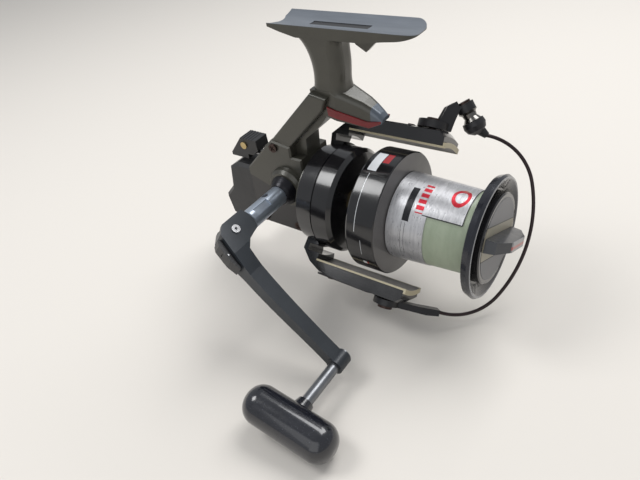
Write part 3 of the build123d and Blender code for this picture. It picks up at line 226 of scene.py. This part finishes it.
# ---- Bearings, shafts, pins and springs ----
# Bright machined steel, with fine rings that the lathe left round each piece.
# The fold pin's rolled end shows as a pale ring on the crank's knuckle.
steel = Paint("machined_steel", Metallic=1.0)
steel.tone(rgb(150, 150, 152), rgb(190, 190, 192), 200)
steel.sheen(0.18, 0.38, 900, 2, (1, 0.1, 1))
steel.onto("shaft_bearings", "pinion_bearing", "bearing_retainer", "anti_reverse_rod", "fold_pin")
steel.onto("release_pin", "ratchet_wheel", "bail_spring", "trip_rod", "main_shaft", "drag_washers")
steel.onto("crosswind_worm", "drag_clip", "drag_spring")

# ---- Brass pieces ----
# Pinion, nuts, slider, counterweight and the lever's rivet, turned or cast in brass.
# The rivet's head has paled where the thumb rubs it.
brass = Paint("brass", Metallic=1.0)
brass.tone(rgb(164, 142, 96), rgb(206, 186, 140), 260)
brass.sheen(0.22, 0.42, 420)
brass.onto("lever_rivet", "pinion", "rotor_nut", "counterweight", "slider_block", "drag_nut")

# ---- Drive gear ----
# A die-cast zinc face gear on its hollow shaft, left bare and grey from grease.
# It runs in the two shaft bearings and takes the crank's sleeve in its bore.
gear_alloy = Paint("gear_alloy", Metallic=0.9)
gear_alloy.tone(rgb(132, 132, 130), rgb(160, 160, 158), 200)
gear_alloy.sheen(0.35, 0.55, 400)
gear_alloy.onto("drive_gear")

# ---- Handle collar ----
# A turned dome, plated black, that covers the bearing where the crank enters the housing.
# It is pushed onto the drive shaft and turns with it.
collar_paint = Paint("collar_black", Metallic=0.6)
collar_paint.tone(rgb(22, 22, 26), rgb(38, 38, 43), 150)
collar_paint.sheen(0.22, 0.37, 300)
collar_paint.onto("handle_collar")

# ---- Handle sleeve ----
# A bright turned tube with a long slot and a notch for its screw, which carries the folding crank.
# Fine rings from the lathe run round it.
sleeve_metal = Paint("sleeve_metal", Metallic=0.8)
turned = sleeve_metal.noise(1500, 2, (0.02, 1, 0.02))
sleeve_metal.tone(rgb(150, 160, 174), rgb(188, 197, 208), 120)
sleeve_metal.feed("Roughness", turned * 0.1 + 0.3)
sleeve_metal.bump(turned, 0.04)
sleeve_metal.onto("handle_sleeve")

# ---- Crank arm ----
# A bowed aluminium casting that folds on the sleeve's pin, sprayed satin blue-grey.
# Its paint has the same fine orange peel as the frame.
arm_paint = Paint("arm_paint", Metallic=0.35, Coat_Weight=0.2, Coat_Roughness=0.2)
arm_paint.tone(rgb(32, 36, 41), rgb(48, 53, 59), 70, 4)
arm_paint.sheen(0.4, 0.56, 240)
arm_paint.bump(arm_paint.noise(1100, 2), 0.1)
arm_paint.onto("handle_arm")

# ---- Grip spindle ----
# A plated steel pin riveted through the end of the arm; its flat head shows on the far side.
# The grip turns on it.
spindle_metal = Paint("spindle_metal", Metallic=0.9)
spindle_metal.tone(rgb(96, 98, 102), rgb(140, 142, 145), 150)
spindle_metal.sheen(0.25, 0.4, 700)
spindle_metal.onto("knob_shaft")

# ---- Grip ----
# A gloss black capsule moulded in two halves round the spindle's core.
# Use has left long fine scratches and pale specks in the gloss.
grip_gloss = Paint("grip_gloss", Coat_Weight=0.6, Coat_Roughness=0.06)
scratches = grip_gloss.noise(220, 6, (1, 1, 5), 0.7)
specks = grip_gloss.noise(1500, 3).within(0.68, 1.0)
mottle = grip_gloss.blend(grip_gloss.noise(50, 4), rgb(10, 11, 16), rgb(24, 26, 36))
grip_gloss.feed("Base Color", grip_gloss.blend(specks * 0.45, mottle, rgb(104, 106, 118)))
grip_gloss.feed("Roughness", scratches * 0.36 + 0.05)
grip_gloss.bump(scratches, 0.05, 0.0002)
grip_gloss.onto("handle_knob")

# ---- Rotor and drag knob ----
# Gloss black mouldings: the drum with its two arms, screwed to the pinion, and the knob that holds the spool.
# Dust dulls the gloss in patches.
gloss = Paint("gloss_black", Coat_Weight=0.4, Coat_Roughness=0.05)
dust = gloss.noise(70, 5)
gloss.feed("Base Color", gloss.blend(dust, rgb(12, 12, 14), rgb(30, 29, 31)))
gloss.feed("Roughness", dust * 0.22 + 0.08)
gloss.onto("rotor", "drag_knob")

# ---- Arm trims ----
# A thin grey plate snapped to the inside of each rotor arm.
# Its long edges and its turned-up front tip are left beige.
lip_low, lip_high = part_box("lip_ring")
spool_z = (lip_low.z + lip_high.z) / 2
arm_roll = radians(38)
trim_edge = 0.0090
trim_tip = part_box("arm_trims")[1].x - 0.0004

trim_paint = Paint("trim_paint")
x, y, z = trim_paint.split()
sideways = (y * cos(arm_roll) - (z - spool_z) * sin(arm_roll)).math("ABSOLUTE")
rim = (sideways > trim_edge) + (x > trim_tip)
trim_paint.feed("Base Color", trim_paint.blend(rim, rgb(52, 50, 50), rgb(178, 168, 140)))
trim_paint.sheen(0.35, 0.55, 200)
trim_paint.onto("arm_trims")

# ---- Bail levers ----
# Two cast levers that pivot on the ends of the rotor's arms, and the cone where the wire begins.
# They are sprayed satin black.
lever_paint = Paint("lever_paint", Metallic=0.3)
lever_paint.tone(rgb(24, 24, 26), rgb(40, 39, 41), 120)
lever_paint.sheen(0.3, 0.5, 260)
lever_paint.bump(lever_paint.noise(900, 2), 0.12)
lever_paint.onto("bail_lever", "wire_holder", "bail_arm")

# ---- Line roller ----
# A hard-plated grooved roller on a bush, held by its screw between the lever's eye and the cone.
# The line keeps it polished.
roller_metal = Paint("roller_metal", Metallic=1.0)
roller_metal.tone(rgb(88, 86, 84), rgb(130, 128, 124), 300)
roller_metal.sheen(0.15, 0.3, 800)
roller_metal.onto("line_roller", "roller_bush")

# ---- Bail wire ----
# Spring wire bent in one sweep, pressed into the cone and the plain lever.
# Its dark plating has a brown cast.
wire_metal = Paint("wire_metal", Metallic=0.7)
wire_metal.tone(rgb(44, 36, 37), rgb(66, 55, 56), 200)
wire_metal.sheen(0.25, 0.4, 500)
wire_metal.onto("bail_wire")

# ---- Spool: skirt, flange and core ----
# One machined piece, lacquered gloss black on the skirt and left grey on the flange behind the line.
# The lettering is left off; two thin printed lines and two small blocks of white and red stay.


def about_spool(paint):
    """Millimetres along the spool, degrees round it from the top, and millimetres from its axis."""
    x, y, z = paint.split()
    across = z - spool_z
    roll = y.math("ARCTAN2", across) * (180 / pi)
    radius = (y * y + across * across).math("SQRT") * 1000
    return x * 1000, roll, radius


skirt_surface, flange_face, flange_edge = 32.2, 24.3, 32.6

skirt = Paint("spool_lacquer", Coat_Weight=0.4, Coat_Roughness=0.06)
along, roll, radius = about_spool(skirt)
long_line = along.within(13.3, 13.6) * roll.within(-77, -23)
short_line = along.within(16.9, 17.1) * roll.within(-100, -84)
top_white = along.within(11.0, 16.0) * roll.within(-20, 4)
top_red = along.within(16.4, 20.0) * roll.within(-9, 4)
side_white = along.within(16.2, 18.4) * roll.within(-114, -110)
side_red = along.within(18.4, 19.4) * roll.within(-114, -110)
printed = radius > skirt_surface
flange = (along > flange_face) * (radius < flange_edge)
dust = skirt.noise(80, 5)
colour = skirt.blend(dust, rgb(10, 10, 12), rgb(26, 25, 27))
colour = skirt.blend((long_line + short_line + top_white + side_white) * printed, colour, rgb(206, 208, 210))
colour = skirt.blend((top_red + side_red) * printed, colour, rgb(150, 28, 34))
skirt.feed("Base Color", skirt.blend(flange, colour, rgb(80, 78, 78)))
skirt.feed("Roughness", dust * 0.2 + 0.1 + flange * 0.3)
skirt.onto("spool_body")

# ---- Spool lip ----
# A turned ring, anodised blue-black, screwed on in front of the line so that it runs off smoothly.
# Its front edge carries a pale painted highlight, and the recess round the knob is painted near-black as shade.
edge_face, edge_inside, edge_outside, recess_shade_radius = 72.8, 29.4, 30.6, 27.0

lip_paint = Paint("lip_paint", Metallic=0.4, Coat_Weight=0.5, Coat_Roughness=0.06)
along, roll, radius = about_spool(lip_paint)
# A pale painted highlight along the rounded front edge of the lip.
painted_edge_highlight = (along > edge_face) * radius.within(edge_inside, edge_outside)
colour = lip_paint.blend(lip_paint.noise(90, 4), rgb(20, 22, 30), rgb(36, 38, 47))
colour = lip_paint.blend(painted_edge_highlight * 0.6, colour, rgb(150, 152, 156))
# Painted shade: the deep recess round the knob is coloured near-black.
lip_paint.feed("Base Color", lip_paint.blend(radius < recess_shade_radius, colour, rgb(10, 10, 12)))
lip_paint.sheen(0.16, 0.36, 240)
lip_paint.onto("lip_ring")

# ---- Wound line ----
# Pale green nylon laid on the spool in close turns, each a low ridge round the cone.
# It stands in for the plain solid that fills the spool, and is smooth under the label's ring.
core_low, core_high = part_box("line_fill")
fill_rear, fill_front = core_low.x, core_high.x
fill_rear_radius, fill_front_radius = (core_high.z - core_low.z) / 2, 0.0210
core_radius = 0.0196
ridges_from, line_pitch = 0.0451, 0.00062
crest_depth, groove_depth = 0.00003, 0.00017
turn_steps = 120


def fill_radius(at):
    """Outer radius of the line's cone at a place along the spool."""
    share = (at - fill_rear) / (fill_front - fill_rear)
    return fill_rear_radius + (fill_front_radius - fill_rear_radius) * share


outline = [(fill_rear, core_radius), (fill_rear, fill_rear_radius - crest_depth)]
outline.append((ridges_from, fill_radius(ridges_from) - crest_depth))
at = ridges_from
while at < fill_front - line_pitch:
    outline.append((at + line_pitch * 0.12, fill_radius(at) - groove_depth))
    outline.append((at + line_pitch * 0.5, fill_radius(at) - crest_depth))
    outline.append((at + line_pitch * 0.88, fill_radius(at) - groove_depth))
    at += line_pitch
outline.append((fill_front, fill_front_radius - groove_depth))
outline.append((fill_front, core_radius))

bpy.ops.object.select_all(action="DESELECT")
at, out = outline[0]
bpy.ops.mesh.primitive_plane_add(size=0.001, calc_uvs=False, location=(at, 0, spool_z + out))
wound_line = bpy.context.object
wound_line.name = wound_line.data.name = "wound_line"
bpy.ops.object.mode_set(mode="EDIT")
bpy.ops.mesh.select_mode(type="VERT")
bpy.ops.mesh.merge(type="CENTER")
for (at, out), (next_at, next_out) in zip(outline, outline[1:] + outline[:1]):
    step = (next_at - at, 0, next_out - out)
    bpy.ops.mesh.extrude_region_move(TRANSFORM_OT_translate={"value": step})
bpy.ops.mesh.select_all(action="SELECT")
bpy.ops.mesh.spin(steps=turn_steps, angle=2 * pi, center=(0, 0, spool_z), axis=(1, 0, 0))
bpy.ops.mesh.select_all(action="SELECT")
bpy.ops.mesh.remove_doubles(threshold=1e-6)
bpy.ops.mesh.normals_make_consistent(inside=False)
bpy.ops.object.mode_set(mode="OBJECT")
bpy.ops.object.transform_apply(location=True, rotation=False, scale=False)
bpy.ops.object.shade_smooth_by_angle(angle=radians(50))

nylon = Paint("green_nylon", Transmission_Weight=0.12, Coat_Weight=0.3, Coat_Roughness=0.15)
laid = nylon.noise(60, 5, (4, 1, 1))
nylon.feed("Base Color", nylon.blend(laid, rgb(132, 145, 122), rgb(176, 186, 164)))
nylon.feed("Roughness", laid * 0.3 + 0.22)
wound_line.data.materials.append(nylon.material)
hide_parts("line_fill")
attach(wound_line, "spool")

# ---- Label band ----
# Silver foil wrapped round the rear of the line, with a patch that reaches forward, and creased by the winding.
# The lettering is left off; a black bar, red blocks, a red ring, thin rules and the patch's black border stay.
patch_start, patch_front, ring_along, ring_middle = -46.5, 63.2, 57.5, -8

foil = Paint("label_foil", Metallic=0.55)
along, roll, radius = about_spool(foil)
streak = foil.noise(160, 5, (6, 0.6, 0.6), 0.65)
crease = foil.noise(420, 4, (3, 1, 1))
silver = foil.blend(streak, rgb(128, 128, 132), rgb(214, 214, 216))
bar = along.within(33.5, 37.0) * roll.within(-58, -12)
border = roll.within(patch_start, patch_start + 1.2) * (along > 43.0) + (along > patch_front)
rules = (along.within(33.6, 33.8) + along.within(35.4, 35.6)) * roll.within(-107, -60)
block_gaps = (roll * 0.115).math("FRACT") > 0.35
blocks = along.within(39.0, 43.0) * roll.within(-45, -2) * block_gaps
ring_x, ring_y = (along - ring_along) * 0.23, (roll - ring_middle) / 17
ring = (ring_x * ring_x + ring_y * ring_y).math("SQRT").within(0.62, 1.0)
colour = foil.blend(bar + border + rules, silver, rgb(26, 26, 30))
foil.feed("Base Color", foil.blend(blocks + ring, colour, rgb(176, 30, 46)))
foil.feed("Roughness", crease * 0.35 + 0.15)
foil.bump(crease, 0.35)
foil.onto("label_band")

# ---- Click wheel ----
# A grey acetal wheel with moulded teeth, pressed on under the spool.
# A spring pawl would ride over its teeth as the spool slips.
click_plastic = Paint("inner_plastic")
click_plastic.tone(rgb(90, 88, 84), rgb(112, 110, 106), 120)
click_plastic.sheen(0.4, 0.6, 200)
click_plastic.onto("click_wheel")

# ---- Drag felts ----
# Brown felt rings, cut from sheet and oiled, stacked between the steel washers.
# The clip keeps them in the spool.
felt = Paint("felt", Roughness=0.95)
felt.tone(rgb(84, 76, 62), rgb(120, 110, 92), 900, 4)
felt.bump(felt.noise(1200, 3), 0.5)
felt.onto("drag_felts")

# ---- Knob face ----
# A grey plate let into the gloss knob, with a light ring line round it just inside a dark gap.
# A beige band runs along each side of the raised bar, with a fine groove beside it.
bar_turn = radians(-26.0)
band_half_width, groove_width, plate_radius, ring_width = 8.0, 0.6, 21.3, 0.4

plate = Paint("plate_grey", Coat_Weight=0.15, Coat_Roughness=0.2)
x, y, z = plate.split()
along, roll, radius = about_spool(plate)
off_bar = ((z - spool_z) * cos(bar_turn) - y * sin(bar_turn)).math("ABSOLUTE") * 1000
groove = off_bar.within(band_half_width, band_half_width + groove_width)
gap = radius.within(plate_radius, plate_radius + ring_width)
brushed = plate.noise(500, 3, (1, 0.1, 0.1))
colour = plate.blend(brushed, rgb(92, 92, 95), rgb(110, 110, 113))
colour = plate.blend(off_bar < band_half_width, colour, rgb(142, 136, 118))
colour = plate.blend(groove + gap, colour, rgb(34, 34, 36))
ring_line = radius.within(plate_radius - ring_width, plate_radius)
plate.feed("Base Color", plate.blend(ring_line, colour, rgb(160, 160, 162)))
plate.feed("Roughness", brushed * 0.2 + 0.35)
plate.onto("drag_face")

# ---- Knob bar ----
# The raised bar that the fingers turn, moulded blue-black with the knob.
# Its flat top is light grey with one red stripe.
bar_top = 0.0846

bar_paint = Paint("bar_paint", Coat_Weight=0.3, Coat_Roughness=0.1)
x, y, z = bar_paint.split()
off_bar = (z - spool_z) * cos(bar_turn) - y * sin(bar_turn)
top = x > bar_top
stripe = top * off_bar.within(-0.0012, 0.0004)
colour = bar_paint.blend(bar_paint.noise(200), rgb(22, 26, 33), rgb(36, 41, 49))
colour = bar_paint.blend(top, colour, rgb(124, 124, 126))
bar_paint.feed("Base Color", bar_paint.blend(stripe, colour, rgb(160, 70, 66)))
bar_paint.sheen(0.22, 0.42, 300)
bar_paint.onto("drag_bar")

# ---- Floor ----
# A plain pale board under the reel, far wider than it.
# It lies half a millimetre below the lowest point, so that nothing sinks into it.
low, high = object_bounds()
floor_gap = 0.0005
bpy.ops.mesh.primitive_plane_add(size=6, location=(0, 0, low.z - floor_gap))
floor = bpy.context.object
floor.name = "floor"
floor_paint = Paint("floor_paint", Roughness=0.9)
floor_paint.feed("Base Color", rgb(214, 209, 202))
floor.data.materials.append(floor_paint.material)

# ---- Light ----
# A dim, slightly blue sky all round, and three soft square lamps aimed at the middle of the reel:
# one behind it from above, one like a window at its left shoulder, and a weak one in front.
world = bpy.data.worlds.new("studio")
scene.world = world
world.use_nodes = True
sky = world.node_tree.nodes["Background"]
sky.inputs["Color"].default_value = (0.93, 0.96, 1.0, 1)
sky.inputs["Strength"].default_value = 0.5

middle = (low + high) / 2
lamps = [("key", (0.12, 0.5, 0.75), 0.6, 7.5), ("window", (-0.5, -0.3, 0.7), 0.35, 3.4),
         ("fill", (0.2, -0.9, 0.35), 0.9, 2.2)]
for name, place, size, power in lamps:
    lamp_data = bpy.data.lights.new(name, "AREA")
    lamp_data.energy = power
    lamp_data.size = size
    lamp = bpy.data.objects.new(name, lamp_data)
    scene.collection.objects.link(lamp)
    lamp.location = place
    lamp.rotation_euler = (middle - Vector(place)).to_track_quat("-Z", "Y").to_euler()

# ---- Camera ----
# It stands in front of the reel on the handle side and looks down at the skirt, rolled a little to its right.
# The lens is a moderate wide one.
camera_place = Vector((0.1496, -0.2144, 0.0831))
camera_aim = Vector((-0.00446, -0.0378, -0.0992))
camera_roll = radians(-10.056)

camera_data = bpy.data.cameras.new("camera")
camera_data.sensor_width = 36
camera_data.lens = 32.3857
camera_data.clip_start = 0.01
camera = bpy.data.objects.new("camera", camera_data)
scene.collection.objects.link(camera)
camera.location = camera_place
aimed = (camera_aim - camera_place).to_track_quat("-Z", "Y")
camera.rotation_euler = (aimed @ Quaternion((0, 0, 1), camera_roll)).to_euler()
scene.camera = camera
